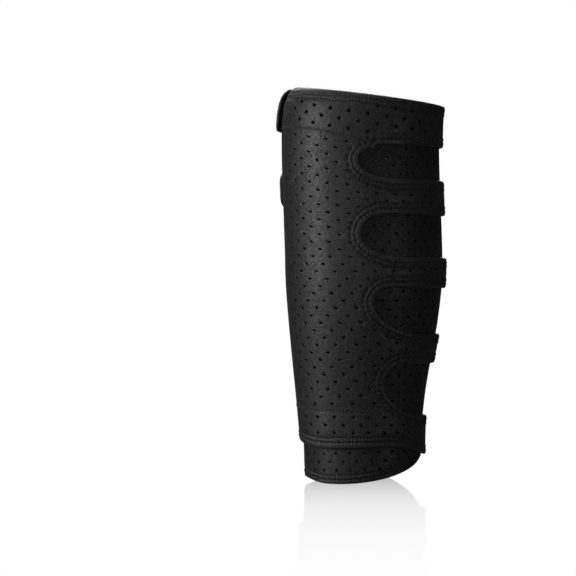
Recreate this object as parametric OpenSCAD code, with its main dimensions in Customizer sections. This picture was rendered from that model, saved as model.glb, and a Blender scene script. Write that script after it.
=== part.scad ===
// Adjustable calf and shin wrap: two layers of perforated neoprene, cut into straps that close
// round the back of the leg with hook patches. Millimetres, +Z up the leg, -Y to the wearer's front.
// Angles are measured round the leg from the front (-Y), positive towards +X.

/* [Leg form] */
// Outer radius of the closed wrap over the calf
calf_r = 66.2; // [60:0.1:80]
// Outer radius of the closed wrap over the ankle
ankle_r = 51.6; // [45:0.1:58]
// Height at which the taper starts
taper_low = 25; // [15:1:60]
// Height at which the calf is at its full size
taper_high = 180; // [150:1:230]

/* [Layers] */
// Thickness of the neoprene sheet
sheet_t = 3; // [2:0.1:4]
// Free space between two layers that lie on each other
layer_gap = 0.3; // [0.2:0.05:0.5]
// Height that a line of thread stands above the sheet
thread_t = 0.5; // [0.3:0.1:0.6]
// Width of a flat seam
seam_w = 5; // [3:0.5:6]
// Thickness of the hook patches
hook_t = 1.3; // [1:0.1:1.4]

/* [Edges] */
// Height of the top edge, on the leg's axis
top_z = 314.2; // [300:0.1:330]
// Slope of the top edge, down towards +X, in degrees
top_tilt = 7; // [0:0.1:9]
// How far the underlap's top edge stays below the outer one
underlap_drop = 3; // [1:0.5:6]
// Height of the outer layer's lower hem, on the leg's axis
hem_z = 28.8; // [24:0.1:34]
// Slope of the outer layer's lower hem, in degrees
hem_tilt = 6; // [0:0.1:8]
// Height that the underlap's bottom edge reaches at +X
ankle_rise = 24; // [5:1:26]

/* [Seams] */
// Height of the upper band's seam, on the leg's axis
upper_seam_z = 274.8; // [273.5:0.1:276]
// Slope of the upper band's seam, in degrees
upper_seam_tilt = 14; // [12:0.1:15]
// Height of the lower band's seam
lower_seam_z = 60; // [59:0.1:63]
// Where the outer layer is sewn onto the underlap at the back
lap_angle = -188; // [-190:1:-185]
// Width of the lap at the back, in degrees
lap_width = 11; // [8:1:12]

/* [Openings between the straps] */
// Corner heights of opening 1: top edge, rounded tip, bottom edge
slot_1 = [272.7, 260.8, 245.4];
// Corner heights of opening 2
slot_2 = [217.1, 201.3, 182.7];
// Corner heights of opening 3
slot_3 = [158.1, 146.2, 120.8];
// Corner heights of opening 4
slot_4 = [97, 80.7, 54.5];
// How far from the leg's axis each rounded tip lies, towards +X (4 values)
slot_tip_x = [-4.7, -4.8, 5.4, 16.8];
// Length of each opening's rounded upper corner (4 values)
slot_upper_run = [24, 20, 13, 17];
// Length of each opening's rounded lower corner (4 values)
slot_lower_run = [27, 33, 38, 36];

/* [Straps] */
// Height of the middle of each strap on the leg's axis; the first is the top strap (4 values)
strap_z = [296.4, 235.2, 172.2, 109];
// The same for the bottom strap
bottom_strap_z = 40; // [38:0.1:42]
// Width of each strap, from the top (4 values)
strap_w = [33.4, 27.6, 24.4, 23.4];
// Width of the bottom strap
bottom_strap_w = 32; // [26:0.5:33]
// Slope of each strap round the leg, in degrees (4 values)
strap_tilt = [6.1, 3.5, 1.5, 0];
// Slope of the bottom strap, in degrees
bottom_strap_tilt = 2; // [0:0.1:4]
// Where each strap ends round the leg, in degrees (4 values)
strap_end = [270, 256, 247, 241];
// Where the bottom strap ends, in degrees
bottom_strap_end = 236; // [225:1:240]
// Where the straps leave the outer panel
root_angle = 100; // [95:1:105]
// Where the sewn-on tabs start
tab_angle = 190; // [186:1:195]
// Height of a tab's inner side above the outer panel
tab_lift = 2; // [1.8:0.1:2.4]

/* [Hidden] */

slots = [slot_1, slot_2, slot_3, slot_4];
heights = concat(strap_z, [bottom_strap_z]);
widths = concat(strap_w, [bottom_strap_w]);
tilts = concat(strap_tilt, [bottom_strap_tilt]);
ends = concat(strap_end, [bottom_strap_end]);

// Far bigger than the wrap, for cutting
far = 200;
// A vertical end face stays this many degrees short of its neighbour on another body
end_gap = 0.35;
// A strap's outer side stands this far above the outer layer's at its root
root_step = 0.2;
// Sideways shift that brings a strap's far end from the underlap up onto the outer panel
rise = tab_lift + sheet_t - root_step;
// The ring a strap is cut from goes on past both of its ends by this many degrees
ring_over = 20;
// The underlap's outer side, below the outer layer's outer side
under_out = -sheet_t - layer_gap;
under_in = under_out - sheet_t;
// Room between a hook patch's end and the tab's end, and its length round the leg, in degrees
hook_margin = 3;
hook_span = 30;
// Room between a hook patch and each long edge of its tab
hook_edge = 3;
// Free space between the underlap's two upright edges, in degrees
underlap_gap = 7;
// Upright rows of thread at the back: where they start and stop behind the lap's edge, in
// degrees, and how far they stay from the top edge and the hem
lap_rows = [3, 7];
row_end = 4;
// Where each flat seam runs into an opening's edge, in degrees
upper_seam_end = 0;
lower_seam_end = 20;
// The raised part of the bottom edge starts this far from the axis, in this direction in degrees
rim_flat = 12;
rim_turn = 8;
// The openings' cut starts this far behind the leg's axis
slot_back = 20;
// Straight pieces that the taper is made of
taper_steps = 8;
// Heights at which the wall's slope changes
stations = [-20, for (k = [0:taper_steps]) taper_low + (taper_high - taper_low) * k / taper_steps,
            345];

function smooth(u) = u * u * (3 - 2 * u);
function wall_r(z) = ankle_r + (calf_r - ankle_r)
  * smooth(min(max((z - taper_low) / (taper_high - taper_low), 0), 1));

// Half of the wall's section, between two distances from the outer layer's outer side
function wall_section(inner, outer) = concat(
  [for (z = stations) [wall_r(z) + outer, z]],
  [for (k = [len(stations) - 1:-1:0]) [wall_r(stations[k]) + inner, stations[k]]]
);

// A stretch of wall round the leg, from one angle to another
module wall(inner, outer, from, to) {
  rotate([0, 0, from - 90])
    rotate_extrude(angle = to - from, $fn = 96) polygon(wall_section(inner, outer));
}

// Everything above a sloping plane that crosses the leg's axis at height z
module above(z, tilt) {
  translate([0, 0, z]) rotate([0, tilt, 0]) translate([-far, -far, 0]) cube(2 * far);
}

// Everything between two parallel sloping planes
module slab(z, tilt, thickness) {
  translate([0, 0, z]) rotate([0, tilt, 0])
    translate([-far, -far, -thickness / 2]) cube([2 * far, 2 * far, thickness]);
}

// Everything between two angles less than 180 degrees apart
module wedge(from, to) {
  middle = (from + to) / 2;
  translate([0, 0, -far]) linear_extrude(3 * far)
    polygon([[0, 0], for (a = [from, middle, to]) 2 * far * [sin(a), -cos(a)]]);
}

// One opening between two straps, cut straight through the front half: a rounded tip, then open
// towards +X
module slot(k) {
  high = slots[k][0];
  tip = slots[k][1];
  low = slots[k][2];
  x = slot_tip_x[k];
  upper = [for (a = [90:-15:0]) [x + slot_upper_run[k] * (1 - cos(a)), tip + (high - tip) * sin(a)]];
  lower = [for (a = [15:15:90]) [x + slot_lower_run[k] * (1 - cos(a)), tip + (low - tip) * sin(a)]];
  rotate([90, 0, 0]) translate([0, 0, -slot_back]) linear_extrude(far)
    polygon(concat([[far, high]], upper, lower, [[far, low]]));
}

// The outer layer with its four openings, up to where the straps start
module outer_layer() {
  difference() {
    wall(-sheet_t, 0, lap_angle, root_angle);
    above(top_z, top_tilt);
    mirror([0, 0, 1]) above(-hem_z, -hem_tilt);
    for (k = [0:3]) slot(k);
  }
}

// Inner layer, nearly a closed tube: its free edge lies behind the lap at the back
module underlap_panel() {
  color("#1b1b1d") difference() {
    wall(under_in, under_out, lap_angle + lap_width + underlap_gap, lap_angle + lap_width + 360);
    above(top_z - underlap_drop, top_tilt);
    mirror([0, 0, 1]) above(0, 0);
    ankle_cut();
  }
}

// Raises the bottom edge at +X, and leaves the rest of the edge flat to stand on
module ankle_cut() {
  reach = ankle_r - rim_flat;
  rotate([0, 0, rim_turn]) translate([rim_flat, 0, 0]) rotate([0, -atan(ankle_rise / reach), 0])
    translate([-far, -far, -2 * far]) cube(2 * far);
}

// Body of the outer layer, with the upper, middle and lower straps' roots
module front_panel() {
  color("#28282a") difference() {
    outer_layer();
    above(upper_seam_z, upper_seam_tilt);
    mirror([0, 0, 1]) above(-lower_seam_z, 0);
  }
}

// Band along the top edge, with the top strap's root
module upper_band() {
  color("#262628") intersection() {
    outer_layer();
    above(upper_seam_z, upper_seam_tilt);
  }
}

// Band along the lower hem, with the bottom strap's root
module lower_band() {
  color("#262628") intersection() {
    outer_layer();
    mirror([0, 0, 1]) above(-lower_seam_z, 0);
  }
}

// Flat seam that joins the upper band to the front panel
module upper_band_seam() {
  color("#151516") intersection() {
    wall(0, thread_t, lap_angle, upper_seam_end);
    slab(upper_seam_z, upper_seam_tilt, seam_w);
  }
}

// Flat seam that joins the lower band to the front panel
module lower_band_seam() {
  color("#151516") intersection() {
    wall(0, thread_t, lap_angle, lower_seam_end);
    slab(lower_seam_z, 0, seam_w);
  }
}

// Upright rows of thread that sew the outer layer onto the underlap; the flat seams cross it
module back_lap_seam() {
  color("#151516") difference() {
    wall(0, thread_t, lap_angle + lap_rows[0], lap_angle + lap_rows[1]);
    above(top_z - row_end, top_tilt);
    mirror([0, 0, 1]) above(-hem_z - row_end, -hem_tilt);
    slab(upper_seam_z, upper_seam_tilt, seam_w);
    slab(lower_seam_z, 0, seam_w);
  }
}

// Strap k from its root to its tab: it climbs from the underlap onto the outer panel
module strap(k) {
  color("#242426") intersection() {
    translate(rise * [sin(tab_angle), -cos(tab_angle), 0])
      wall(root_step - sheet_t, root_step, root_angle - ring_over, tab_angle + ring_over);
    wedge(root_angle + end_gap, tab_angle - end_gap / 2);
    slab(heights[k], tilts[k], widths[k]);
  }
}

// Free end of strap k, lying on the outer panel
module tab(k) {
  color("#222224") intersection() {
    wall(tab_lift, tab_lift + sheet_t, tab_angle + end_gap / 2, ends[k]);
    slab(heights[k], tilts[k], widths[k]);
  }
}

// Hook patch sewn under the end of tab k
module hook_patch(k) {
  color("#0e0e0f") intersection() {
    wall(tab_lift - hook_t, tab_lift, ends[k] - hook_margin - hook_span, ends[k] - hook_margin);
    slab(heights[k], tilts[k], widths[k] - 2 * hook_edge);
  }
}

underlap_panel();
front_panel();
upper_band();
lower_band();
upper_band_seam();
lower_band_seam();
back_lap_seam();
strap(0);  // top_strap
tab(0);  // top_strap_tab
hook_patch(0);  // top_strap_hook_patch
strap(1);  // upper_strap
tab(1);  // upper_strap_tab
hook_patch(1);  // upper_strap_hook_patch
strap(2);  // middle_strap
tab(2);  // middle_strap_tab
hook_patch(2);  // middle_strap_hook_patch
strap(3);  // lower_strap
tab(3);  // lower_strap_tab
hook_patch(3);  // lower_strap_hook_patch
strap(4);  // bottom_strap
tab(4);  // bottom_strap_tab
hook_patch(4);  // bottom_strap_hook_patch
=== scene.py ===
# Soft adjustable calf wrap: perforated neoprene, cut and sewn flat, then closed round the leg.
# Flat patterns are in millimetres: across = length round the leg from the front, up = height,
# depth = distance outwards from the outer layer's face.
import math

import bpy
import numpy as np
from mathutils.geometry import delaunay_2d_cdt
from mathutils.kdtree import KDTree
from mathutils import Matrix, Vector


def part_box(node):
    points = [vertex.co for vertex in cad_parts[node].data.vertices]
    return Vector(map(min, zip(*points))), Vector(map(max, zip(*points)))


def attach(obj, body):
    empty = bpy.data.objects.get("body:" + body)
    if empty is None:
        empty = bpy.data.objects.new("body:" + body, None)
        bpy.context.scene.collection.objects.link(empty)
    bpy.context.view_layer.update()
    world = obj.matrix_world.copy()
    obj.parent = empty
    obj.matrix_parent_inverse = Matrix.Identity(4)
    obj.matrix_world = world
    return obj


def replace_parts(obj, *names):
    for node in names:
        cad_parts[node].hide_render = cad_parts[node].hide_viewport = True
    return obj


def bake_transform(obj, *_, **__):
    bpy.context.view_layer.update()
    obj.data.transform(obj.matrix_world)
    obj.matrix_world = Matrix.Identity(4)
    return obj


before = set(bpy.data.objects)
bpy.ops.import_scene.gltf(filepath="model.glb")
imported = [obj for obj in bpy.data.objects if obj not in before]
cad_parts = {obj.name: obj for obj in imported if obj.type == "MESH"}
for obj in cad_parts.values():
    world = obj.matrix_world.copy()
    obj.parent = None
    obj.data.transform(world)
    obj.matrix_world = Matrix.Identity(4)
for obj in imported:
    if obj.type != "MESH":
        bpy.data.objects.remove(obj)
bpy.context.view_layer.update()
scene = bpy.context.scene
mm = 0.001
print("frame loaded")


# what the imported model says: the leg's size, where the straps start and end

def nodePoints(node):
    return np.array([v.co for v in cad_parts[node].data.vertices]) / mm


def reach(node, below):
    # furthest that a node's points lie from the leg's axis, under a height
    points = nodePoints(node)
    points = points[points[:, 2] < below]
    return float(np.hypot(points[:, 0], points[:, 1]).max())


def turns(node):
    # where a strap's piece starts and ends round the leg, in degrees from the front
    points = nodePoints(node)
    angles = np.degrees(np.arctan2(points[:, 0], -points[:, 1])) % 360
    return float(angles.min()), float(angles.max())


strapNames = ["top_strap", "upper_strap", "middle_strap", "lower_strap", "bottom_strap"]

neoprene = {
    "thick": 3.0,
    "gap": 0.3,
    "lip": 1.45,           # rounding of a cut edge
    "seamLip": 0.22,        # rounding where two panels are butted
    "fine": 0.8,           # spacing of points along edges
    "coarse": 2.8,         # spacing of points elsewhere
}

leg = {
    "ankleRadius": reach("underlap_panel", 20) + neoprene["thick"] + neoprene["gap"],
    "calfRadius": reach("upper_band", 400),
    "taperLow": 25.0,
    "taperHigh": 180.0,
    "topFall": 8.1,        # how much lower the top edge is at the side than at the leg's axis
    "curlMiddle": 4.0,     # how far the top edge leans in
    "curlSide": 5.6,       # more on the left, less on the right
    "curlReach": 9.2,
    "bow": 1.5,            # sideways sway of the calf
    "bowFrom": 111.0,
    "bowSpan": 114.0,
    "waviness": 0.7,
}
leg["topHeight"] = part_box("upper_band")[1].z / mm - leg["topFall"]
underDepth = -(neoprene["thick"] + neoprene["gap"])      # the underlap's outer face

stitching = {
    "pitch": 2.9,
    "thread": 0.46,
    "nearRow": 5.0,        # from the cut edge
    "farRow": 8.4,
    "underRows": (3.3, 6.6),
    "depth": -0.36,        # of the thread, from the outer face
    "crossing": 0.8,       # thickness of the looper thread
    "groove": 1.25,        # how deep a row of stitches pulls the cloth in
    "grooveWidth": 0.7,
    "dimple": 0.65,        # share of the groove that is only under the stitches
    "rib": 0.42,           # how far the cloth swells between the rows
    "ribEdge": 1.8,
    "sink": 0.1,           # how far the whole stitched border sinks
    "sinkWidth": 3.4,
    "through": 0.35,       # share of all this that shows on the inner face
    "zigzagPitch": 5.8,
    "zigzagWidth": 3.6,
    "zigzagThread": 0.62,
    "zigzagDepth": -0.1,
    "zigzagPull": 0.12,
    "zigzagPullWidth": 0.8,
}

rearAngle = -188.0         # the outer layer's rear edge, sewn down at the back
underlapFrom = -170.0
underlapTo = 189.95        # its two edges nearly meet at the back
rootGap = 0.35             # degrees between the outer layer and a strap's own piece
rootAngle = turns("top_strap")[0] - rootGap


def wallRadius(up):
    u = np.clip((np.asarray(up, float) - leg["taperLow"]) / (leg["taperHigh"] - leg["taperLow"]), 0, 1)
    return leg["ankleRadius"] + (leg["calfRadius"] - leg["ankleRadius"]) * u * u * (3 - 2 * u)


def across(angle, up):
    return np.radians(angle) * wallRadius(up)


def topEdge(angle):
    return leg["topHeight"] - leg["topFall"] * np.sin(np.radians(angle))


# node helpers: a socket that takes part in Python sums, and a tree that makes nodes

class Wire:
    def __init__(self, tree, socket):
        self.tree = tree
        self.socket = socket

    def math(self, operation, *others, first=None):
        values = [self if first is None else first, *(others if first is None else (self,))]
        return self.tree.add("ShaderNodeMath", {"operation": operation}, dict(enumerate(values)))

    def __add__(self, other):
        return self.math("ADD", other)

    def __radd__(self, other):
        return self.math("ADD", other)

    def __sub__(self, other):
        return self.math("SUBTRACT", other)

    def __rsub__(self, other):
        return self.math("SUBTRACT", first=other)

    def __mul__(self, other):
        return self.math("MULTIPLY", other)

    def __rmul__(self, other):
        return self.math("MULTIPLY", other)

    def __truediv__(self, other):
        return self.math("DIVIDE", other)

    def __rtruediv__(self, other):
        return self.math("DIVIDE", first=other)

    def __neg__(self):
        return self.math("MULTIPLY", -1.0)


class Tree:
    def __init__(self, tree):
        self.tree = tree
        self.start = None

    def add(self, kind, settings=None, values=None, output=0):
        node = self.tree.nodes.new(kind)
        for name, value in (settings or {}).items():
            setattr(node, name, value)
        for name, value in (values or {}).items():
            socket = node.inputs[name]
            if isinstance(value, Wire):
                self.tree.links.new(value.socket, socket)
            elif isinstance(value, list):
                for part in value:
                    self.tree.links.new(part.socket, socket)
            else:
                socket.default_value = value
        return Wire(self, node.outputs[output])

    def input(self, name, kind="NodeSocketFloat"):
        self.tree.interface.new_socket(name, in_out="INPUT", socket_type=kind)
        if self.start is None:
            self.start = self.tree.nodes.new("NodeGroupInput")
        return Wire(self, self.start.outputs[name])

    def finish(self, geometry):
        solid = self.add("GeometryNodeRealizeInstances", None, {"Geometry": geometry})
        finished = self.add("GeometryNodeSetMaterial", None, {
            "Geometry": solid, "Material": self.input("Material", "NodeSocketMaterial")})
        self.tree.interface.new_socket("Geometry", in_out="OUTPUT", socket_type="NodeSocketGeometry")
        end = self.tree.nodes.new("NodeGroupOutput")
        self.tree.links.new(finished.socket, end.inputs[0])
        return self.tree

    def vector(self, operation, *values, output=0):
        return self.add("ShaderNodeVectorMath", {"operation": operation}, dict(enumerate(values)), output)

    def split(self, vector):
        node = self.tree.nodes.new("ShaderNodeSeparateXYZ")
        self.tree.links.new(vector.socket, node.inputs[0])
        return [Wire(self, output) for output in node.outputs]

    def join(self, x, y, z):
        return self.add("ShaderNodeCombineXYZ", None, {"X": x, "Y": y, "Z": z})

    def position(self):
        return self.add("GeometryNodeInputPosition")

    def place(self, geometry, position=None, offset=None):
        values = {"Geometry": geometry}
        if position is not None:
            values["Position"] = position
        if offset is not None:
            values["Offset"] = offset
        return self.add("GeometryNodeSetPosition", None, values)


def newTree(name):
    tree = Tree(bpy.data.node_groups.new(name, "GeometryNodeTree"))
    return tree, tree.input("Geometry", "NodeSocketGeometry")


def applyTree(tree, mesh, values, material):
    # the mesh after one geometry tree, as a plain mesh
    values = dict(values, Material=material)
    base = bpy.data.objects.new("base", mesh)
    scene.collection.objects.link(base)
    modifier = base.modifiers.new(tree.name, "NODES")
    modifier.node_group = tree
    for item in tree.interface.items_tree:
        if item.in_out == "INPUT" and item.name in values:
            modifier[item.identifier] = values[item.name]
    graph = bpy.context.evaluated_depsgraph_get()
    made = bpy.data.meshes.new_from_object(base.evaluated_get(graph), depsgraph=graph)
    base.modifiers.remove(modifier)
    bpy.data.objects.remove(base)
    return made


# closing a flat pattern round the leg

def makeWrapTree():
    tree, geometry = newTree("wrapOnLeg")
    value = {name: tree.input(name) for name in leg}
    side, up, depth = tree.split(tree.position())
    share = tree.add("ShaderNodeMapRange", {"interpolation_type": "SMOOTHSTEP"},
                     {"Value": up, "From Min": value["taperLow"], "From Max": value["taperHigh"]})
    radius = value["ankleRadius"] + (value["calfRadius"] - value["ankleRadius"]) * share
    angle = side / radius
    sine = angle.math("SINE")
    below = (value["topHeight"] - value["topFall"] * sine - up).math("MAXIMUM", 0.0)
    curl = (value["curlMiddle"] - value["curlSide"] * sine) * (-below / value["curlReach"]).math("EXPONENT")
    waveRound, waveRise = 40.0, 0.7      # pace of the cloth's slow unevenness, round and up the leg
    column = tree.join(sine * waveRound, angle.math("COSINE") * waveRound, up * waveRise)
    wave = tree.add("ShaderNodeTexNoise", None, {"Vector": column, "Scale": 0.03, "Detail": 2.0}) - 0.5
    wall = radius - curl + depth + wave * value["waviness"]
    sway = ((up - value["bowFrom"]) / value["bowSpan"] * math.pi).math("SINE") * value["bow"]
    onLeg = tree.join(wall * sine + sway, -(wall * angle.math("COSINE")), up)
    return tree.finish(tree.place(geometry, tree.vector("MULTIPLY", onLeg, (mm, mm, mm))))


wrapTree = makeWrapTree()


def wrap(mesh, material):
    return applyTree(wrapTree, mesh, leg, material)


def standing(name, mesh, body):
    # a finished mesh as a piece of the object
    for polygon in mesh.polygons:
        polygon.use_smooth = True
    mesh.name = name
    piece = bpy.data.objects.new(name, mesh)
    scene.collection.objects.link(piece)
    if body:
        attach(piece, body)
    return piece


# lines of the flat pattern

def smoothLine(points, step=1.0):
    # a smooth line through a few points
    points = np.array(points, float)
    ends = np.vstack([2 * points[0] - points[1], points, 2 * points[-1] - points[-2]])
    line = []
    for a, b, c, d in zip(ends, ends[1:], ends[2:], ends[3:]):
        count = max(2, int(np.linalg.norm(c - b) / step))
        t = np.linspace(0, 1, count, endpoint=False)[:, None]
        line.append(0.5 * (2 * b + (c - a) * t + (2 * a - 5 * b + 4 * c - d) * t ** 2
                           + (3 * b - a - 3 * c + d) * t ** 3))
    return np.vstack([*line, points[-1:]])


def evenLine(line, step):
    # the same line with its points spaced evenly
    gaps = np.linalg.norm(np.diff(line, axis=0), axis=1)
    along = np.concatenate([[0], np.cumsum(gaps)])
    at = np.linspace(0, along[-1], max(2, int(round(along[-1] / step)) + 1))
    return np.stack([np.interp(at, along, line[:, k]) for k in range(2)], axis=1)


def shifted(line, distance):
    # the line moved to its left by a distance
    steps = np.gradient(line, axis=0)
    normal = np.stack([-steps[:, 1], steps[:, 0]], axis=1)
    normal /= np.maximum(np.linalg.norm(normal, axis=1), 1e-9)[:, None]
    return line + normal * distance


def smooth(u):
    u = np.clip(u, 0, 1)
    return u * u * (3 - 2 * u)


def upright(angle, low, high):
    # a line up the leg at one angle
    up = np.linspace(low, high, max(2, int(abs(high - low) / 2)))
    return np.stack([across(angle, up), up], axis=1)


# openings between the straps: rounded tip, then the upper and lower edge's height and corner length
openings = [
    {"tip": (-4.7, 260.8), "high": 272.7, "highRun": 25.0, "low": 245.4, "lowRun": 30.0},
    {"tip": (-4.8, 201.3), "high": 217.1, "highRun": 22.0, "low": 182.7, "lowRun": 34.0},
    {"tip": (5.4, 146.2), "high": 158.1, "highRun": 14.0, "low": 120.8, "lowRun": 50.0},
    {"tip": (17.0, 80.7), "high": 97.0, "highRun": 20.0, "low": 54.5, "lowRun": 44.0},
]
bandSplit = 8.0            # where the upper band's seam meets the first opening
hemSplit = 33.0            # where the lower band's seam meets the last opening


def corner(opening, side):
    # half of an opening's edge, from its tip to where the strap starts
    tipAcross, tipUp = opening["tip"]
    height = opening[side]
    run = opening[side + "Run"]
    turn = np.radians(np.linspace(0, 90, 40))
    bend = np.stack([tipAcross + run * (1 - np.cos(turn)), tipUp + (height - tipUp) * np.sin(turn)], axis=1)
    end = np.array([[float(across(rootAngle, height)), height]])
    return evenLine(np.vstack([bend, end]), neoprene["fine"])


def splitAt(line, place):
    # a corner's line in two, at a distance across
    k = int(np.argmin(np.abs(line[:, 0] - place)))
    return line[:k + 1], line[k:]


uppers = [corner(o, "high") for o in openings]
lowers = [corner(o, "low") for o in openings]
bandStart, bandEnd = splitAt(uppers[0], bandSplit)
hemStart, hemEnd = splitAt(lowers[3], hemSplit)

upperSeam = smoothLine([(float(across(rearAngle, 281)), 281), (float(across(-150, 286)), 286.2),
                        (float(across(-110, 289)), 289.0), (-73, 289.0), (-52, 287.0), (-37.5, 284.8),
                        (-24.8, 282.5), (-13, 280.5), (-4, 278.4), (3, 275.4), tuple(bandStart[-1])])
lowerSeam = smoothLine([(float(across(rearAngle, 63)), 63), (-100, 63), (-51.6, 61), (-21, 60.2),
                        (9.2, 59.6), tuple(hemEnd[0])])
hem = smoothLine([(float(across(a, u)), u) for a, u in [
    (rearAngle, 38), (-140, 37), (-90, 34.2), (-62, 30.2), (-38, 28.6), (0, 29), (25, 29.6),
    (45, 27.6), (78, 22.8), (rootAngle, 22.2)]])
topLine = np.array([(float(across(a, topEdge(a))), float(topEdge(a)))
                    for a in np.linspace(rearAngle, rootAngle, 330)])
# the hem at the ankle stands on the floor in front and at the back, and rises at both sides
ankleHem = {"rightFrom": -30, "rightPeak": 90, "rightTo": 152, "rightHeight": 26.2, "steepness": 0.00182,
            "leftHeight": 4.0, "leftFrom": -38, "leftTo": -148}
ankleAngles = np.linspace(underlapFrom, underlapTo, 260)
downRun = ankleHem["rightTo"] - ankleHem["rightPeak"]
down = np.clip((ankleHem["rightTo"] - ankleAngles) / downRun, 0, 1)
ankleRise = np.where(ankleAngles < ankleHem["rightPeak"],
                     ankleHem["steepness"] * np.maximum(ankleAngles - ankleHem["rightFrom"], 0) ** 2,
                     ankleHem["rightHeight"] * down ** 1.1)
ankleRise += (ankleHem["leftHeight"] * smooth((ankleHem["leftFrom"] - ankleAngles) / 46)
              * smooth((ankleAngles - ankleHem["leftTo"]) / 60))
ankleEdge = np.stack([across(ankleAngles, 10), ankleRise], axis=1)
underTop = np.array([(float(across(a, topEdge(a))), float(topEdge(a)) - neoprene["thick"])
                     for a in np.linspace(underlapFrom, underlapTo, 300)])


# cutting a panel: an outline made of runs, each a line and the kind of edge it is

# distances from a cut edge of the rows of points that shape it and its stitching
edgeRows = [0.35, 0.9, 1.7, 2.7, 3.7, 4.4, 5.0, 5.6, 6.3, 7.1, 7.8, 8.4, 9.0, 9.8]


def outlineOf(runs):
    points = []
    kinds = []
    for line, kind in runs:
        even = evenLine(line, neoprene["fine"])
        points.append(even[:-1])
        kinds += [kind] * (len(even) - 1)
    return np.vstack(points), kinds


def measure(points, line, closed=False):
    # distance of each point from a line, and how far along the line it is nearest
    after = np.roll(line, -1, axis=0) if closed else line[1:]
    before = line if closed else line[:-1]
    run = after - before
    size = np.maximum((run ** 2).sum(1), 1e-9)
    along = np.concatenate([[0], np.cumsum(np.sqrt(size))])
    tree = KDTree(len(before))
    for k, middle in enumerate((before + after) / 2):
        tree.insert((middle[0], middle[1], 0), k)
    tree.balance()
    nearest = np.array([tree.find((p[0], p[1], 0))[1] for p in points], int)
    best = np.full(len(points), 1e9)
    where = np.zeros(len(points))
    for step in (-1, 0, 1):
        k = (nearest + step) % len(before) if closed else np.clip(nearest + step, 0, len(before) - 1)
        t = np.clip(((points - before[k]) * run[k]).sum(1) / size[k], 0, 1)
        far = np.linalg.norm(points - before[k] - run[k] * t[:, None], axis=1)
        closer = far < best
        best = np.where(closer, far, best)
        where = np.where(closer, along[k] + t * np.sqrt(size[k]), where)
    return best, where


def inside(points, outline):
    # which points lie inside a closed outline
    after = np.roll(outline, -1, axis=0)
    found = np.zeros(len(points), bool)
    for a, b in zip(outline, after):
        crosses = (a[1] > points[:, 1]) != (b[1] > points[:, 1])
        with np.errstate(divide="ignore", invalid="ignore"):
            x = a[0] + (points[:, 1] - a[1]) * (b[0] - a[0]) / (b[1] - a[1])
        found ^= crosses & (points[:, 0] < x)
    return found


def triangles(outline, kinds, rowsFromEdge, step):
    # a flat triangulation inside an outline: rows of points that follow its edges, an even field elsewhere
    rows = [np.zeros((0, 2))]
    run = np.roll(outline, -1, axis=0) - np.roll(outline, 1, axis=0)
    normal = np.stack([-run[:, 1], run[:, 0]], axis=1)
    normal /= np.maximum(np.linalg.norm(normal, axis=1), 1e-9)[:, None]
    for distance in rowsFromEdge:
        keep = np.array([kind == "cut" or distance < 3 for kind in kinds])      # fewer rows beside a join
        row = (outline + normal * distance)[keep]
        far, _ = measure(row, outline, closed=True)
        rows.append(row[(far > distance * 0.97) & inside(row, outline)])
    rows = np.vstack(rows)
    low, high = outline.min(0), outline.max(0)
    heights = np.arange(low[1], high[1], step * 0.866)      # rows of even triangles
    grid = np.array([(a + (k % 2) * step / 2, u) for k, u in enumerate(heights)
                     for a in np.arange(low[0], high[0], step)])
    grid = grid[inside(grid, outline)]
    far, _ = measure(grid, outline, closed=True)
    grid = grid[far > 1.2]
    if len(rows):
        crowd = KDTree(len(rows))
        for k, point in enumerate(rows):
            crowd.insert((point[0], point[1], 0), k)
        crowd.balance()
        grid = grid[[crowd.find((p[0], p[1], 0))[2] > step * 0.55 for p in grid]]
    points = np.vstack([outline, rows, grid])
    made = delaunay_2d_cdt([tuple(p) for p in points], [], [list(range(len(outline)))], 1, 1e-5)
    onOutline = {source: k for k, sources in enumerate(made[3]) for source in sources
                 if source < len(outline)}
    return np.array([(v[0], v[1]) for v in made[0]]), made[2], [onOutline[k] for k in range(len(outline))]


def cutPanel(runs, sewn=True):
    # a flat closed sheet: outer face at depth 0, plainer inner face one thickness below it
    outline, kinds = outlineOf(runs)
    outer, outerFaces, outerRim = triangles(outline, kinds, edgeRows if sewn else edgeRows[:2],
                                            neoprene["coarse"])
    inner, innerFaces, innerRim = triangles(outline, kinds, edgeRows[:2], neoprene["coarse"] * 1.6)
    count = len(outer)
    faces = [tuple(face) for face in outerFaces]
    faces += [tuple(k + count for k in reversed(face)) for face in innerFaces]
    for k in range(len(outline)):
        a, b = k, (k + 1) % len(outline)
        faces.append((outerRim[b], outerRim[a], innerRim[a] + count, innerRim[b] + count))
    vertices = np.vstack([np.column_stack([outer, np.zeros(count)]),
                          np.column_stack([inner, np.full(len(inner), -neoprene["thick"])])])
    mesh = bpy.data.meshes.new("flat")
    mesh.from_pydata(vertices.tolist(), [], faces)
    mesh.update()
    area = 0.5 * abs(np.sum(outline[:, 0] * np.roll(outline[:, 1], -1)
                            - np.roll(outline[:, 0], -1) * outline[:, 1]))
    return {"mesh": mesh, "outline": outline, "kinds": kinds, "area": area,
            "size": outline.max(0) - outline.min(0)}


def wireMesh(lines):
    # open lines as a mesh of edges, for the trees that follow them
    points = []
    edges = []
    for line in lines:
        first = len(points)
        points += [(p[0], p[1], 0.0) for p in line]
        edges += [(k, k + 1) for k in range(first, first + len(line) - 1)]
    mesh = bpy.data.meshes.new("wire")
    mesh.from_pydata(points, edges, [])
    return mesh


# punching the holes: staggered rows that follow the fabric's grain

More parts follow.
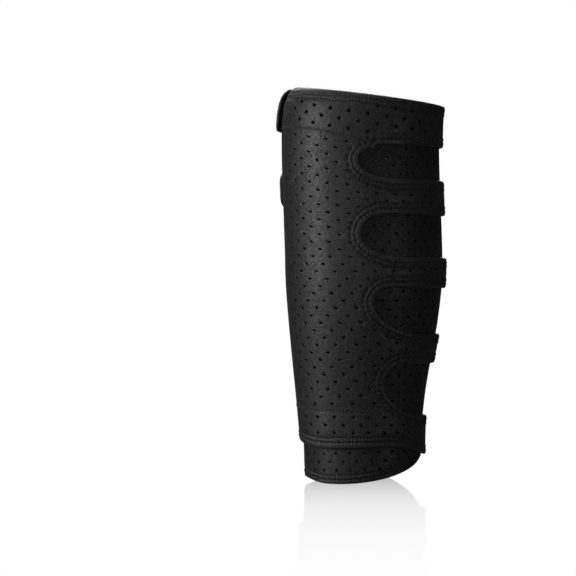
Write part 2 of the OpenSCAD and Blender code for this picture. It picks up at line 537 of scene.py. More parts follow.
def makePunchTree():
    tree, geometry = newTree("punchHoles")
    sewnEdge = tree.input("Sewn edge", "NodeSocketObject")
    seamEdge = tree.input("Seam edge", "NodeSocketObject")
    names = ["pitch", "rowPitch", "anchorAcross", "anchorUp", "slopeLow", "slopeHigh", "slopeFrom",
             "slopeTo", "bend", "squeeze", "lean", "leanFrom", "holeWide", "holeHigh", "holeTilt",
             "clearance", "seamClearance", "thick", "flare"]
    value = {name: tree.input(name) for name in names}
    columns, rows, seed, sides, segments = (tree.input(name, "NodeSocketInt") for name in (
        "columns", "rows", "seed", "sides", "segments"))
    grid = tree.add("GeometryNodeMeshGrid", None, {
        "Size X": (columns - 1.0) * value["pitch"], "Size Y": (rows - 1.0) * value["rowPitch"],
        "Vertices X": columns, "Vertices Y": rows})
    x, y, _ = tree.split(tree.position())
    odd = (y / value["rowPitch"]).math("ROUND").math("FLOORED_MODULO", 2.0)
    x = x + odd * value["pitch"] * 0.5 + value["anchorAcross"]
    y = y + value["anchorUp"]
    x = x - value["squeeze"] * (x + 8.0).math("MAXIMUM", 0.0)
    x = x + value["lean"] * (value["leanFrom"] - y).math("MAXIMUM", 0.0)
    share = ((y - value["slopeFrom"]) / (value["slopeTo"] - value["slopeFrom"])).math("MAXIMUM", 0.0)
    slope = value["slopeLow"] + (value["slopeHigh"] - value["slopeLow"]) * share * share
    fromAnchor = x - value["anchorAcross"]
    y = y + slope * fromAnchor + value["bend"] * fromAnchor * fromAnchor
    points = tree.place(grid, tree.join(x, y, 0.0))
    where = tree.position()
    # a hole is punched where it is on the panel and clear of its edges
    onPanel = tree.add("GeometryNodeProximity", {"target_element": "FACES"},
                       {"Geometry": geometry, "Sample Position": where}, "Distance")
    tests = [onPanel.math("LESS_THAN", 0.01)]
    for edge, room in ((sewnEdge, value["clearance"]), (seamEdge, value["seamClearance"])):
        wire = tree.add("GeometryNodeObjectInfo", None, {"Object": edge}, "Geometry")
        far = tree.add("GeometryNodeProximity", {"target_element": "EDGES"},
                       {"Geometry": wire, "Sample Position": where}, "Distance")
        tests.append(far.math("GREATER_THAN", room))
    chosen = tests[0] * tests[1] * tests[2]
    # the punch: straight through, opening a little at the outer face
    over = 0.6
    flareDeep = 0.8
    length = value["thick"] + 2 * over
    punch = tree.add("GeometryNodeMeshCylinder", None, {
        "Vertices": sides, "Side Segments": segments, "Radius": 0.5, "Depth": length})
    px, py, pz = tree.split(tree.position())
    lift = (pz - value["thick"] / 2 + flareDeep).math("MAXIMUM", 0.0) / flareDeep
    spread = value["flare"] * lift * lift * 0.25 + 1.0
    shaped = tree.place(punch, tree.join(px * value["holeWide"] * spread, py * value["holeHigh"] * spread,
                                         pz - value["thick"] / 2))
    jitter = tree.add("FunctionNodeRandomValue", {"data_type": "FLOAT"},
                      {2: -1.0, 3: 1.0, "Seed": seed}, 1)
    turn = tree.join(0.0, 0.0, value["holeTilt"] + jitter * 0.12)
    holes = tree.add("GeometryNodeInstanceOnPoints", None, {
        "Points": points, "Selection": chosen, "Instance": shaped, "Rotation": turn})
    solid = tree.add("GeometryNodeRealizeInstances", None, {"Geometry": holes})
    cut = tree.add("GeometryNodeMeshBoolean", {"operation": "DIFFERENCE", "solver": "MANIFOLD"},
                   {"Mesh 1": geometry, "Mesh 2": solid})
    return tree.finish(cut)


punchTree = makePunchTree()

holes = {
    "anchorAcross": -40.0,     # where one hole of the pattern lies
    "anchorUp": 225.2,
    "pitch": 17.4,
    "rowPitch": 5.95,
    "columns": 41,
    "rows": 71,
    "slopeLow": 0.01,          # slope of the rows, low and high on the leg
    "slopeHigh": -0.12,
    "slopeFrom": 90.0,
    "slopeTo": 265.0,
    "bend": 0.0003,
    "squeeze": 0.14,           # how much closer the columns are to the right of the front
    "lean": 0.33,
    "leanFrom": 185.0,
    "holeWide": 2.7,
    "holeHigh": 1.45,
    "holeTilt": -0.22,
    "clearance": 9.2,          # plain border beside cut edges
    "seamClearance": 3.6,
    "thick": neoprene["thick"],
    "flare": 1.1,              # how much a hole opens at the outer face
    "seed": 3,
    "sides": 10,
    "segments": 6,
}
bandHoles = dict(holes, anchorAcross=3.6, anchorUp=297.4, pitch=16.0, rowPitch=7.15, slopeLow=-0.14,
                 slopeHigh=-0.14, bend=0.0006, squeeze=0.03, holeWide=2.9, holeHigh=2.4, seed=5)
hemHoles = dict(holes, anchorAcross=-40.9, anchorUp=54.0, pitch=16.4, rowPitch=6.3, slopeLow=0.0,
                slopeHigh=0.0, bend=0.0, squeeze=0.24, lean=0.0, holeWide=2.6, holeHigh=1.8,
                clearance=8.8, seed=7)
underHoles = dict(holes, anchorAcross=12.6, anchorUp=201.6, pitch=12.6, rowPitch=6.75, slopeLow=0.04,
                  slopeHigh=0.04, bend=0.00013, squeeze=0.0, lean=0.0, holeWide=1.8, holeHigh=1.55,
                  clearance=8.6, columns=41, rows=81, seed=9, sides=7, segments=2)
strapHoles = dict(holes, pitch=15.2, rowPitch=5.9, slopeLow=0.0, slopeHigh=0.0, bend=0.0, squeeze=0.0,
                  lean=0.0, columns=31, rows=21)
topStrapHoles = dict(strapHoles, holeHigh=2.1, rowPitch=6.8)
noLine = [np.array([(900.0, 900.0), (901.0, 900.0)])]      # far off, for a panel without such an edge


def punch(mesh, pattern, sewnLines, seamLines, material):
    wires = []
    for lines in (sewnLines, seamLines):
        wire = bpy.data.objects.new("wire", wireMesh(lines or noLine))
        scene.collection.objects.link(wire)
        wires.append(wire)
    edges = {"Sewn edge": wires[0], "Seam edge": wires[1]}
    made = applyTree(punchTree, mesh, dict(pattern, **edges), material)
    for wire in wires:
        bpy.data.objects.remove(wire)
    return made


# giving a punched panel its body: rounded edges, lines pulled in by thread, puckers

def placesOf(mesh):
    co = np.zeros(len(mesh.vertices) * 3)
    mesh.vertices.foreach_get("co", co)
    return co.reshape(-1, 3)


def pressPanel(mesh, sewnLines, seamLines, base=0.0, lift=None, rows=None):
    co = placesOf(mesh)
    flat = co[:, :2]
    outerShare = 1 + co[:, 2] / neoprene["thick"]
    rounding = np.zeros(len(co))
    for lines, radius in ((sewnLines, neoprene["lip"]), (seamLines, neoprene["seamLip"])):
        for line in lines:
            far, _ = measure(flat, line)
            near = np.clip(radius - far, 0, radius)
            rounding = np.maximum(rounding, radius - np.sqrt(radius ** 2 - near ** 2))
    nearRow, farRow = rows or (stitching["nearRow"], stitching["farRow"])
    middle = (nearRow + farRow) / 2
    press = np.zeros(len(co))
    for line in sewnLines:
        far, along = measure(flat, line)
        dimple = (0.5 + 0.5 * np.cos(2 * math.pi * along / stitching["pitch"])) ** 1.5
        pull = stitching["groove"] * (1 - stitching["dimple"] * (1 - dimple))
        for row in (nearRow, farRow):
            press += pull * np.exp(-((far - row) / stitching["grooveWidth"]) ** 2)
        edge = stitching["ribEdge"]
        ribbed = smooth((far - edge) / edge) * smooth((farRow + 1.2 - far) / edge)
        press -= stitching["rib"] * (1 - dimple) * ribbed
        press += stitching["sink"] * np.exp(-((far - middle) / stitching["sinkWidth"]) ** 2)
    for line in seamLines:
        far, along = measure(flat, line)
        beat = np.cos(2 * math.pi * along / stitching["zigzagPitch"])
        fromRow = (far - stitching["zigzagWidth"] / 2) / stitching["zigzagPullWidth"]
        press += stitching["zigzagPull"] * ((1 + beat) * np.exp(-fromRow ** 2) + np.exp(-(far / 3.0) ** 2))
    outer = -rounding - press
    inner = -neoprene["thick"] + rounding + stitching["through"] * press
    co[:, 2] = base + inner + (outer - inner) * outerShare
    if lift:
        co[:, 2] += lift(flat)
    mesh.vertices.foreach_set("co", co.ravel())
    mesh.update()


def edgeLines(cut, kind):
    # the stretches of a panel's outline that are one kind of edge, as open lines
    outline, kinds = cut["outline"], cut["kinds"]
    count = len(kinds)
    first = next((k for k in range(count) if kinds[k] != kinds[k - 1]), 0)
    lines = []
    line = []
    for k in range(first, first + count):
        if kinds[k % count] == kind:
            line = line or [outline[k % count]]
            line.append(outline[(k + 1) % count])
        elif line:
            lines.append(np.array(line))
            line = []
    if line:
        lines.append(np.array(line))
    return lines


# thread: cover stitches along an edge, and a zigzag over a butted seam

def makeCoverStitchTree():
    tree, geometry = newTree("coverStitch")
    pitch, width, thread, depth = (tree.input(n) for n in ("pitch", "width", "thread", "depth"))
    crossing = tree.input("crossing")
    path = tree.add("GeometryNodeResampleCurve", {"mode": "LENGTH"}, {
        "Curve": tree.add("GeometryNodeMeshToCurve", None, {"Mesh": geometry}), "Length": pitch})
    tangent = tree.add("GeometryNodeInputTangent")
    sideways = tree.vector("CROSS_PRODUCT", (0.0, 0.0, 1.0), tangent)
    dip, arch = -0.3, 0.16               # where a stitch's ends and middle lie
    end, handle = 0.46, 0.22
    stitch = tree.add("GeometryNodeCurvePrimitiveBezierSegment", None, {
        "Resolution": 4, "Start": tree.join(pitch * -end, 0.0, dip),
        "Start Handle": tree.join(pitch * -handle, 0.0, arch),
        "End Handle": tree.join(pitch * handle, 0.0, arch), "End": tree.join(pitch * end, 0.0, dip)})
    ring = tree.add("GeometryNodeCurvePrimitiveCircle", None, {"Resolution": 6, "Radius": thread * 0.5})
    tube = tree.add("GeometryNodeCurveToMesh", None, {"Curve": stitch, "Profile Curve": ring,
                                                       "Fill Caps": True})
    turned = tree.add("FunctionNodeAlignRotationToVector", {"axis": "X"}, {"Vector": tangent})
    parts = []
    for side in (-0.5, 0.5):
        row = tree.place(path, None, tree.vector("ADD", tree.vector(
            "MULTIPLY", sideways, tree.join(width * side, width * side, 0.0)), tree.join(0.0, 0.0, depth)))
        parts.append(tree.add("GeometryNodeInstanceOnPoints", None, {
            "Points": row, "Instance": tube, "Rotation": turned}))
    # the looper thread crosses from row to row between the stitches
    index = tree.add("GeometryNodeInputIndex")
    half = tree.add("GeometryNodeResampleCurve", {"mode": "LENGTH"}, {"Curve": path, "Length": pitch * 0.5})
    swing = (index.math("FLOORED_MODULO", 2.0) - 0.5) * width * 0.94
    zigzag = tree.place(half, None, tree.vector("ADD", tree.vector(
        "MULTIPLY", sideways, tree.join(swing, swing, 0.0)), tree.join(0.0, 0.0, depth + 0.3)))
    looper = tree.add("GeometryNodeCurveToMesh", None, {
        "Curve": zigzag, "Profile Curve": tree.add("GeometryNodeCurvePrimitiveCircle", None, {
            "Resolution": 5, "Radius": thread * 0.4 * crossing}), "Fill Caps": True})
    return tree.finish(tree.add("GeometryNodeJoinGeometry", None, {"Geometry": [*parts, looper]}))


def makeZigzagTree():
    tree, geometry = newTree("zigzagSeam")
    pitch, width, thread, depth = (tree.input(n) for n in ("pitch", "width", "thread", "depth"))
    path = tree.add("GeometryNodeResampleCurve", {"mode": "LENGTH"}, {
        "Curve": tree.add("GeometryNodeMeshToCurve", None, {"Mesh": geometry}), "Length": pitch * 0.5})
    sideways = tree.vector("CROSS_PRODUCT", (0.0, 0.0, 1.0), tree.add("GeometryNodeInputTangent"))
    parts = []
    index = tree.add("GeometryNodeInputIndex")
    for lead in (0.0, 1.0):              # two threads that zigzag against each other and cross over in turn
        swing = ((index + lead).math("FLOORED_MODULO", 2.0) - 0.5) * width
        turned = tree.place(path, None, tree.vector("ADD", tree.vector(
            "MULTIPLY", sideways, tree.join(swing, swing, 0.0)), tree.join(0.0, 0.0, depth - 0.22)))
        fine = tree.add("GeometryNodeSubdivideCurve", None, {"Curve": turned, "Cuts": 3})
        rise = (index.math("FLOORED_MODULO", 4.0) - 2.0).math("ABSOLUTE") * -0.16 + 0.32 + 0.1 * lead
        lifted = tree.place(fine, None, tree.join(0.0, 0.0, rise))
        ring = tree.add("GeometryNodeCurvePrimitiveCircle", None, {"Resolution": 6, "Radius": thread * 0.5})
        parts.append(tree.add("GeometryNodeCurveToMesh", None, {
            "Curve": lifted, "Profile Curve": ring, "Fill Caps": True}))
    return tree.finish(tree.add("GeometryNodeJoinGeometry", None, {"Geometry": parts}))


coverStitchTree = makeCoverStitchTree()
zigzagTree = makeZigzagTree()


def raised(mesh, base, lift):
    # moves a flat mesh outwards by a fixed depth and by a rule of its place
    co = placesOf(mesh)
    co[:, 2] += base
    if lift:
        co[:, 2] += lift(co[:, :2])
    mesh.vertices.foreach_set("co", co.ravel())


def sewEdges(name, lines, body, inwards, base=0.0, lift=None, rows=None):
    # cover stitches beside cut edges; inwards is 1 where the fabric lies left of the line
    near, far = rows or (stitching["nearRow"], stitching["farRow"])
    paths = [shifted(evenLine(line, 1.0), inwards * (near + far) / 2) for line in lines]
    values = {"pitch": stitching["pitch"], "width": far - near, "thread": stitching["thread"],
              "depth": stitching["depth"], "crossing": stitching["crossing"]}
    mesh = applyTree(coverStitchTree, wireMesh(paths), values, threadFinish)
    raised(mesh, base, lift)
    return standing(name, wrap(mesh, threadFinish), body)


def sewSeam(name, line, body):
    values = {"pitch": stitching["zigzagPitch"], "width": stitching["zigzagWidth"],
              "thread": stitching["zigzagThread"], "depth": stitching["zigzagDepth"]}
    mesh = applyTree(zigzagTree, wireMesh([evenLine(line, 1.0)]), values, threadFinish)
    return standing(name, wrap(mesh, threadFinish), body)


# finishes

def makeFinish(name, look):
    # near-black textile: mottled weave, fine fibres that catch the light, small bumps
    material = bpy.data.materials.new(name)
    material.use_nodes = True
    tree = Tree(material.node_tree)
    shader = material.node_tree.nodes["Principled BSDF"]
    place = tree.add("ShaderNodeTexCoord", None, None, "Object")

    def noise(scale, detail, squash=(1.0, 1.0, 1.0)):
        stretched = tree.vector("MULTIPLY", place, squash)
        return tree.add("ShaderNodeTexNoise", None, {
            "Vector": stretched, "Scale": scale, "Detail": detail, "Roughness": 0.6})

    cloud = noise(look["cloudScale"], 2.0)
    grain = noise(look["grainScale"], 3.0)
    fibre = noise(look["fibreScale"], 2.0, (1.0, 1.0, 1.9))
    speck = grain * fibre * 4.0
    tone = (1.0 + (cloud - 0.5) * look["cloud"]) * (1.0 + (speck - 1.0) * look["speckle"])
    base = tree.add("ShaderNodeMix", {"data_type": "RGBA"}, {
        "Factor": (tone * 0.5).math("MINIMUM", 1.0), 6: (0.0, 0.0, 0.0, 1.0),
        7: tuple(2.0 * c for c in look["color"]) + (1.0,)}, 2)
    rough = look["roughness"] + (grain - 0.5) * look["roughVary"] + (fibre - 0.5) * look["roughVary"]
    height = grain * look["grainDepth"] + fibre * look["fibreDepth"]
    normal = tree.add("ShaderNodeBump", None, {"Strength": 1.0, "Distance": mm, "Height": height})
    glint = (grain + fibre - 1.0) * look["glintContrast"] + look["glint"]
    glint = glint.math("MAXIMUM", 0.0).math("MINIMUM", 1.0)
    for wire, socket in ((base, "Base Color"), (rough, "Roughness"), (normal, "Normal"),
                         (glint, "Coat Weight")):
        tree.tree.links.new(wire.socket, shader.inputs[socket])
    shader.inputs["Sheen Weight"].default_value = look["sheen"]
    shader.inputs["Sheen Roughness"].default_value = look["sheenRoughness"]
    shader.inputs["Coat Roughness"].default_value = look["glintRoughness"]
    shader.inputs["Specular IOR Level"].default_value = look["specular"]
    return material


faceLook = {
    "color": (0.014, 0.014, 0.0145), "roughness": 0.47, "roughVary": 0.9, "cloudScale": 60.0, "cloud": 0.25,
    "grainScale": 700.0, "grainDepth": 0.35, "fibreScale": 1350.0, "fibreDepth": 0.42, "speckle": 0.8,
    "sheen": 0.05, "sheenRoughness": 0.45, "specular": 0.3, "glint": 0.3, "glintContrast": 4.0,
    "glintRoughness": 0.42,
}
# the underlap's finish is the face's made darker, with less specular and glint: painted shade standing in for
# the shadow that falls inside the openings
underShadedLook = dict(faceLook, color=(0.011, 0.011, 0.0115), specular=0.25, glint=0.13, glintContrast=3.0)
threadLook = dict(faceLook, color=(0.03, 0.03, 0.031), roughness=0.5, roughVary=0.2, grainDepth=0.03,
                  fibreDepth=0.05, speckle=0.1, specular=0.5, glint=0.1, glintContrast=1.0)
hookLook = dict(faceLook, color=(0.012, 0.012, 0.013), roughness=0.35, roughVary=0.1, grainDepth=0.02,
                fibreDepth=0.0, speckle=0.0, specular=0.5, glint=0.1, glintContrast=0.5)

faceFinish = makeFinish("neopreneFace", faceLook)
# the underlap's darker copy of the face finish carries painted shade for the shadow inside the openings
underShadedFinish = makeFinish("neopreneUnderlapShaded", underShadedLook)
strapFinish = makeFinish("neopreneStrap", faceLook)
threadFinish = makeFinish("thread", threadLook)
hookFinish = makeFinish("hookTape", hookLook)
print("finishes made")


# the outer layer: band, panel and hem piece, butted at their seams

def declareCloth(cut):
    width, height = cut["size"] * mm
    float(cut["area"] * mm * mm)


def makeCloth(name, runs, pattern, body, material, node, base=0.0, lift=None, rows=None):
    cut = cutPanel(runs)
    sewnLines = edgeLines(cut, "cut")
    seamLines = edgeLines(cut, "seam")
    mesh = cut["mesh"]
    if pattern:
        mesh = punch(mesh, pattern, sewnLines, seamLines, material)
    pressPanel(mesh, sewnLines, seamLines, base, lift, rows)
    piece = standing(name, wrap(mesh, material), body)
    piece.data.set_sharp_from_angle(angle=math.radians(52))
    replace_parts(piece, node)
    print(name, len(piece.data.polygons))
    return piece, cut


rootLine = [upright(rootAngle, low, high) for low, high in [
    (openings[0]["high"], float(topEdge(rootAngle))), (openings[1]["high"], openings[0]["low"]),
    (openings[2]["high"], openings[1]["low"]), (openings[3]["high"], openings[2]["low"]),
    (float(hem[-1][1]), openings[3]["low"])]]
rearTop = upright(rearAngle, float(topEdge(rearAngle)), float(upperSeam[0][1]))
rearMiddle = upright(rearAngle, float(upperSeam[0][1]), float(lowerSeam[0][1]))
rearBottom = upright(rearAngle, float(lowerSeam[0][1]), float(hem[0][1]))

bandRuns = [(upperSeam, "seam"), (bandEnd, "cut"), (rootLine[0], "join"), (topLine[::-1], "cut"),
            (rearTop, "cut")]
frontRuns = [(lowerSeam, "seam"), (hemStart[::-1], "cut"), (uppers[3], "cut"), (rootLine[3], "join"),
             (lowers[2][::-1], "cut"), (uppers[2], "cut"), (rootLine[2], "join"),
             (lowers[1][::-1], "cut"), (uppers[1], "cut"), (rootLine[1], "join"),
             (lowers[0][::-1], "cut"), (bandStart, "cut"), (upperSeam[::-1], "seam"), (rearMiddle, "cut")]
hemRuns = [(hem, "cut"), (rootLine[4], "join"), (hemEnd[::-1], "cut"), (lowerSeam[::-1], "seam"),
           (rearBottom, "cut")]

underlap, underCut = makeCloth(
    "underlap_panel_cloth",
    [(ankleEdge, "cut"),
     (upright(underlapTo, float(ankleEdge[-1][1]), float(underTop[-1][1])), "join"),
     (underTop[::-1], "cut"),
     (upright(underlapFrom, float(underTop[0][1]), float(ankleEdge[0][1])), "join")],
    underHoles, "wrap", underShadedFinish, "underlap_panel",
    base=underDepth, rows=stitching["underRows"])
declareCloth(underCut)

front, frontCut = makeCloth("front_panel_cloth", frontRuns, holes, "wrap", faceFinish,
                            "front_panel")
declareCloth(frontCut)

band, bandCut = makeCloth("upper_band_cloth", bandRuns, bandHoles, "wrap", faceFinish,
                          "upper_band")
declareCloth(bandCut)

hemPiece, hemCut = makeCloth("lower_band_cloth", hemRuns, hemHoles, "wrap", faceFinish,
                             "lower_band")
declareCloth(hemCut)

for name, line in (("upper_band_seam", upperSeam), ("lower_band_seam", lowerSeam)):
    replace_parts(sewSeam(name + "_thread", line, "wrap"), name)

rearInset = 3              # the back lap's stitches stop this far from the edges they run to
rearEdge = upright(rearAngle, float(topEdge(rearAngle)) - rearInset, float(hem[0][1]) + rearInset)
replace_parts(sewEdges("back_lap_thread", [rearEdge], "wrap", 1), "back_lap_seam")
for k in range(len(openings)):
    rim = np.vstack([lowers[k][::-1], uppers[k][1:]])
    sewEdges(f"opening_{k + 1}_thread", [rim], "wrap", 1)
sewEdges("top_edge_thread", [topLine[::-1]], "wrap", 1)
sewEdges("hem_thread", [hem], "wrap", 1)
sewEdges("underlap_hem_thread", [ankleEdge], "wrap", 1, base=underDepth, rows=stitching["underRows"])
print("outer layer and underlap made")


# straps: each goes on from its root, round the back and over the sewn-down edge of the outer layer

strapShape = {
    "tilts": (6.1, 3.5, 1.5, 0.0, 2.0),      # slope of each strap in degrees, from the top
    "widening": 0.012,     # how much the top strap widens towards its end
    "clear": 3.35,         # height of the outer face where the strap lies on the outer layer
    "patch": 4.75,         # and where its hook patch holds it
    "patchRun": 6.0,       # degrees over which it rises to the patch
    "riseFrom": 157.0,     # where it climbs onto the outer layer
    "riseTo": 169.5,
    "corner": 9.0,
    "swingBend": 17,       # degrees of the leg past a strap's root and a tab's start, handed on to bake_transform, which does not use them
    "peelBend": 16,
    "holesAcross": 12.0,   # where the holes' pattern starts past the root
    "holesUp": 1.0,
    "tape": 0.6,           # thickness of the hook tape, without its hooks
    "tapeGap": 0.02,
    "tapeInset": 3.5,
    "tapeCorner": 3.0,
}


def strapEdges(k):
    # heights of a strap's lower and upper edge as rules of the angle
    slope = math.tan(math.radians(strapShape["tilts"][k]))
    low = openings[k]["high"] if k < len(openings) else float(hem[-1][1])
    high = openings[k - 1]["low"] if k else float(topEdge(rootAngle))
    radius = float(wallRadius((low + high) / 2))

    def edge(start, tilt):
        def heightAt(angle):
            return start + (math.sin(math.radians(rootAngle)) - np.sin(np.radians(angle))) * radius * tilt
        return heightAt

    return edge(low, slope), edge(high, slope + (strapShape["widening"] if k == 0 else 0.0))


def strapLift(hookFrom):
    def lift(flat):
        angle = np.degrees(flat[:, 0] / wallRadius(flat[:, 1]))
        rise = strapShape["riseTo"] - strapShape["riseFrom"]
        clear = strapShape["clear"] * smooth((angle - strapShape["riseFrom"]) / rise)
        extra = strapShape["patch"] - strapShape["clear"]
        run = strapShape["patchRun"]
        return clear + extra * smooth((angle - hookFrom + run) / run)
    return lift


def arcOf(edge, fromAngle, toAngle):
    angles = np.linspace(fromAngle, toAngle, max(3, int(abs(toAngle - fromAngle))))
    up = edge(angles)
    return np.stack([across(angles, up), up], axis=1)


def endOf(low, high, angle, corner, way=1):
    # rounded end of a strip: low edge to high edge at its far end, high to low at its near end (way -1)
    first, second = [np.array([float(across(angle, edge(angle))), float(edge(angle))])
                     for edge in (low, high)[::way]]
    turn = np.radians(np.linspace(0, 90, 14))[:, None]
    firstBend = np.array([-corner, corner]) + corner * np.hstack([np.sin(turn), -np.cos(turn)])
    secondBend = corner * np.hstack([np.cos(turn), np.sin(turn)]) - corner
    return np.vstack([first + way * firstBend, second + way * secondBend])


def onLeg(angle, up):
    # a point on the wall at an angle and height
    radius = float(wallRadius(up)) * mm
    return (radius * math.sin(math.radians(angle)), -radius * math.cos(math.radians(angle)), up * mm)


def bendingWith(piece, bodyA, bodyB, fromAngle, toAngle, up):
    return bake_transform(piece, bodyA, bodyB, onLeg(fromAngle, up), onLeg(toAngle, up))


def makeHookTree():
    tree, geometry = newTree("hookField")
    height, hook = (tree.input(n) for n in ("height", "hook"))
    points = tree.add("GeometryNodeMeshToPoints", None, {"Mesh": geometry, "Radius": 0.1})
    stem = tree.add("GeometryNodeCurvePrimitiveBezierSegment", None, {
        "Resolution": 5, "Start": (0.0, 0.0, 0.0), "Start Handle": tree.join(hook * -0.3, 0.0, -height * 0.7),
        "End Handle": tree.join(hook * 0.6, 0.0, -height * 1.3), "End": tree.join(hook, 0.0, -height * 0.6)})
    ring = tree.add("GeometryNodeCurvePrimitiveCircle", None, {"Resolution": 4, "Radius": 0.11})
    solid = tree.add("GeometryNodeCurveToMesh", None, {"Curve": stem, "Profile Curve": ring,
                                                        "Fill Caps": True})
    turn = tree.add("FunctionNodeRandomValue", {"data_type": "INT"}, {4: 0, 5: 1, "Seed": 4}, 2)
    hooks = tree.add("GeometryNodeInstanceOnPoints", None, {
        "Points": points, "Instance": solid, "Rotation": tree.join(0.0, 0.0, turn * math.pi)})
    return tree.finish(hooks)


hookTree = makeHookTree()
hookField = {"pitch": 1.5, "margin": 1.4, "height": 0.55, "hook": 0.35}


def makeStrap(k):
    name = strapNames[k]
    tabName = name + "_tab"
    tabAngle = (turns(name)[1] + turns(tabName)[0]) / 2
    endAngle = turns(tabName)[1]
    patchName = name + "_hook_patch"
    hookFrom, hookTo = turns(patchName)
    low, high = strapEdges(k)
    middle = float(low(rootAngle) + high(rootAngle)) / 2
    lift = strapLift(hookFrom)
    reachRuns = [(arcOf(low, rootAngle, tabAngle), "cut"),
                 (upright(tabAngle, float(low(tabAngle)), float(high(tabAngle))), "join"),
                 (arcOf(high, rootAngle, tabAngle)[::-1], "cut"),
                 (upright(rootAngle, float(high(rootAngle)), float(low(rootAngle))), "join")]
    pattern = dict(topStrapHoles if k == 0 else strapHoles, anchorUp=middle + strapShape["holesUp"],
                   anchorAcross=float(across(rootAngle, middle)) + strapShape["holesAcross"])
    reachPiece, reachCut = makeCloth(name + "_cloth", reachRuns, dict(pattern, seed=20 + k), None,
                                     strapFinish, name, lift=lift)
    shorter = endAngle - math.degrees(strapShape["corner"] / float(wallRadius(middle)))
    tip = endOf(low, high, endAngle, strapShape["corner"])
    tabEdge = np.vstack([arcOf(low, tabAngle, shorter)[:-1], tip, arcOf(high, shorter, tabAngle)[1:]])
    tabRuns = [(tabEdge, "cut"), (upright(tabAngle, float(high(tabAngle)), float(low(tabAngle))), "join")]
    tabPiece, tabCut = makeCloth(tabName + "_cloth", tabRuns, dict(pattern, seed=30 + k), None,
                                 strapFinish, tabName, lift=lift)
    reachThread = sewEdges(name + "_thread", [arcOf(low, rootAngle, tabAngle),
                                              arcOf(high, rootAngle, tabAngle)[::-1]], None, 1, lift=lift)
    tabThread = sewEdges(tabName + "_thread", [tabEdge], None, 1, lift=lift)
    for piece in (reachPiece, reachThread):
        bendingWith(piece, "wrap", name, rootAngle, rootAngle + strapShape["swingBend"], middle)
    tabMiddle = float(low(tabAngle) + high(tabAngle)) / 2
    for piece in (tabPiece, tabThread):
        bendingWith(piece, name, tabName, tabAngle, tabAngle + strapShape["peelBend"], tabMiddle)
    declareCloth(reachCut)
    declareCloth(tabCut)

    makeTape(k, low, high, lift, hookFrom, hookTo)


def makeTape(k, low, high, lift, hookFrom, hookTo):
    # hook tape sewn inside a strap's free end, and its field of hooks
    tabName = strapNames[k] + "_tab"
    patchName = strapNames[k] + "_hook_patch"
    inset, rounding = strapShape["tapeInset"], strapShape["tapeCorner"]

    def patchLow(angle):
        return low(angle) + inset

    def patchHigh(angle):
        return high(angle) - inset

    near = endOf(patchLow, patchHigh, hookFrom, rounding, -1)
    outline = np.vstack([near, endOf(patchLow, patchHigh, hookTo, rounding)])
    patchCut = cutPanel([(outline, "cut"), (np.vstack([outline[-1:], outline[:1]]), "cut")], sewn=False)
    mesh = patchCut["mesh"]
    co = placesOf(mesh)
    top = lift(co[:, :2]) - neoprene["thick"] - strapShape["tapeGap"]
    co[:, 2] = np.where(co[:, 2] < 0, top - strapShape["tape"], top)
    mesh.vertices.foreach_set("co", co.ravel())
    tape = standing(patchName + "_tape", wrap(mesh, hookFinish), tabName)
    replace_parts(tape, patchName)
    grid = []
    span = outline.max(0) - outline.min(0)
    pitch = hookField["pitch"]
    for row in range(int(span[1] / pitch)):
        for column in range(int(span[0] / pitch)):
            grid.append(outline.min(0) + [(column + row % 2 / 2) * pitch, row * pitch])
    grid = np.array(grid)
    far, _ = measure(grid, outline, closed=True)
    grid = grid[inside(grid, outline) & (far > hookField["margin"])]
    depths = lift(grid) - neoprene["thick"] - strapShape["tape"]
    bed = bpy.data.meshes.new("bed")
    bed.from_pydata([(p[0], p[1], depth) for p, depth in zip(grid, depths)], [], [])
    hooks = applyTree(hookTree, bed, hookField, hookFinish)
    standing(patchName + "_hooks", wrap(hooks, hookFinish), tabName)


for k in range(len(strapNames)):
    makeStrap(k)
print("straps made")


# studio

lens = {"x": -0.0623, "y": -2.5, "z": 0.1582, "frameWidth": 0.4723, "sensor": 36}
cameraData = bpy.data.cameras.new("camera")
cameraData.lens = lens["sensor"] * -lens["y"] / lens["frameWidth"]
cameraData.clip_end = 20
camera = bpy.data.objects.new("camera", cameraData)
camera.location = (lens["x"], lens["y"], lens["z"])
camera.rotation_euler = (math.radians(90), 0, 0)
scene.collection.objects.link(camera)
scene.camera = camera


studio = {
    "aimHeight": 0.16,
    "dim": 0.016,              # how bright the surroundings look to the object
    "behindFrom": 0.99,        # how nearly straight back a mirrored ray goes to see them bright
    "floorShade": 0.035,       # how bright the floor looks to the object
    "floorRoughness": 0.04,
    "fade": 0.3,               # metres over which the floor's mirror image fades towards the camera
    "grazing": 12.0,
    "floorHalf": 3,
}


def softbox(name, azimuth, height, distance, width, tall, power):
    light = bpy.data.lights.new(name, "AREA")
    light.shape = "RECTANGLE"
    light.size = width
    light.size_y = tall
    light.energy = power
    lamp = bpy.data.objects.new(name, light)
    turn = math.radians(azimuth)
    lamp.location = (distance * math.sin(turn), -distance * math.cos(turn), height)
    aim = lamp.location.copy()
    aim.z -= studio["aimHeight"]
    lamp.rotation_euler = aim.to_track_quat("Z", "Y").to_euler()
    lamp.visible_camera = False
    scene.collection.objects.link(lamp)


softbox("key", azimuth=-74, height=0.35, distance=1.45, width=0.6, tall=1.2, power=17.5)
softbox("top", azimuth=0, height=1.7, distance=0.3, width=0.5, tall=0.5, power=6)
softbox("front", azimuth=-10, height=0.1, distance=0.9, width=0.5, tall=0.45, power=0.7)
softbox("back", azimuth=186, height=1.3, distance=1.1, width=0.8, tall=0.6, power=24)
softbox("fill", azimuth=44, height=0.05, distance=1.0, width=0.6, tall=0.4, power=1.3)

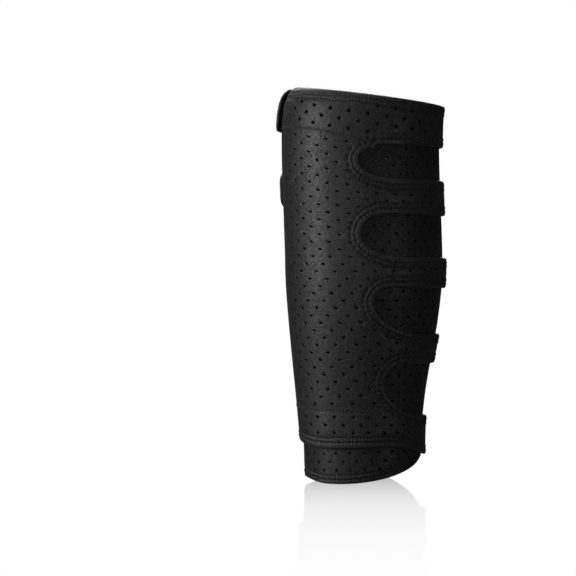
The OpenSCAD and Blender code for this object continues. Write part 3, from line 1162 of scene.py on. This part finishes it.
# white surroundings for the camera, dim ones for the object; what the floor mirrors straight behind is white
world = bpy.data.worlds.new("world")
world.use_nodes = True
scene.world = world
worldTree = Tree(world.node_tree)
seen = worldTree.add("ShaderNodeLightPath", None, None, "Is Camera Ray")
mirrored = worldTree.add("ShaderNodeLightPath", None, None, "Is Glossy Ray")
heading = worldTree.split(worldTree.add("ShaderNodeTexCoord", None, None, "Generated"))      # of the ray
behind = heading[1].math("GREATER_THAN", studio["behindFrom"]) * mirrored
dim = worldTree.add("ShaderNodeBackground", None, {"Color": (1, 1, 1, 1), "Strength": studio["dim"]})
bright = worldTree.add("ShaderNodeBackground", None, {"Color": (1, 1, 1, 1), "Strength": 1.0})
around = worldTree.add("ShaderNodeMixShader", None, {
    0: (seen + behind).math("MINIMUM", 1.0), 1: dim, 2: bright})
world.node_tree.links.new(around.socket, world.node_tree.nodes["World Output"].inputs["Surface"])
scene.view_settings.view_transform = "Standard"

half = studio["floorHalf"]
floorMesh = bpy.data.meshes.new("floor")
floorMesh.from_pydata([(-half, -half, 0), (half, -half, 0), (half, half, 0), (-half, half, 0)], [],
                      [(0, 1, 2, 3)])
floor = bpy.data.objects.new("floor", floorMesh)
scene.collection.objects.link(floor)
floorMaterial = bpy.data.materials.new("floor")
floorMaterial.use_nodes = True
floorTree = Tree(floorMaterial.node_tree)
shaded = floorTree.add("ShaderNodeEmission", None, {
    "Color": (1, 1, 1, 1), "Strength": studio["floorShade"]})
white = floorTree.add("ShaderNodeEmission", None, {"Color": (1, 1, 1, 1), "Strength": 1.0})
watched = floorTree.add("ShaderNodeLightPath", None, None, "Is Camera Ray")
paper = floorTree.add("ShaderNodeMixShader", None, {0: watched, 1: shaded, 2: white})
gloss = floorTree.add("ShaderNodeBsdfGlossy", None, {
    "Color": (1, 1, 1, 1), "Roughness": studio["floorRoughness"]})
onFloor = floorTree.split(floorTree.add("ShaderNodeTexCoord", None, None, "Object"))
nearness = (onFloor[1] / studio["fade"]).math("EXPONENT").math("MINIMUM", 1.0)
facing = floorTree.add("ShaderNodeLayerWeight", None, {"Blend": 0.5}, "Facing")
mirror = nearness * facing.math("POWER", studio["grazing"])
mixed = floorTree.add("ShaderNodeMixShader", None, {0: mirror, 1: paper, 2: gloss})
surface = floorMaterial.node_tree.nodes["Material Output"].inputs["Surface"]
floorMaterial.node_tree.links.new(mixed.socket, surface)
floorMesh.materials.append(floorMaterial)

print("finished")
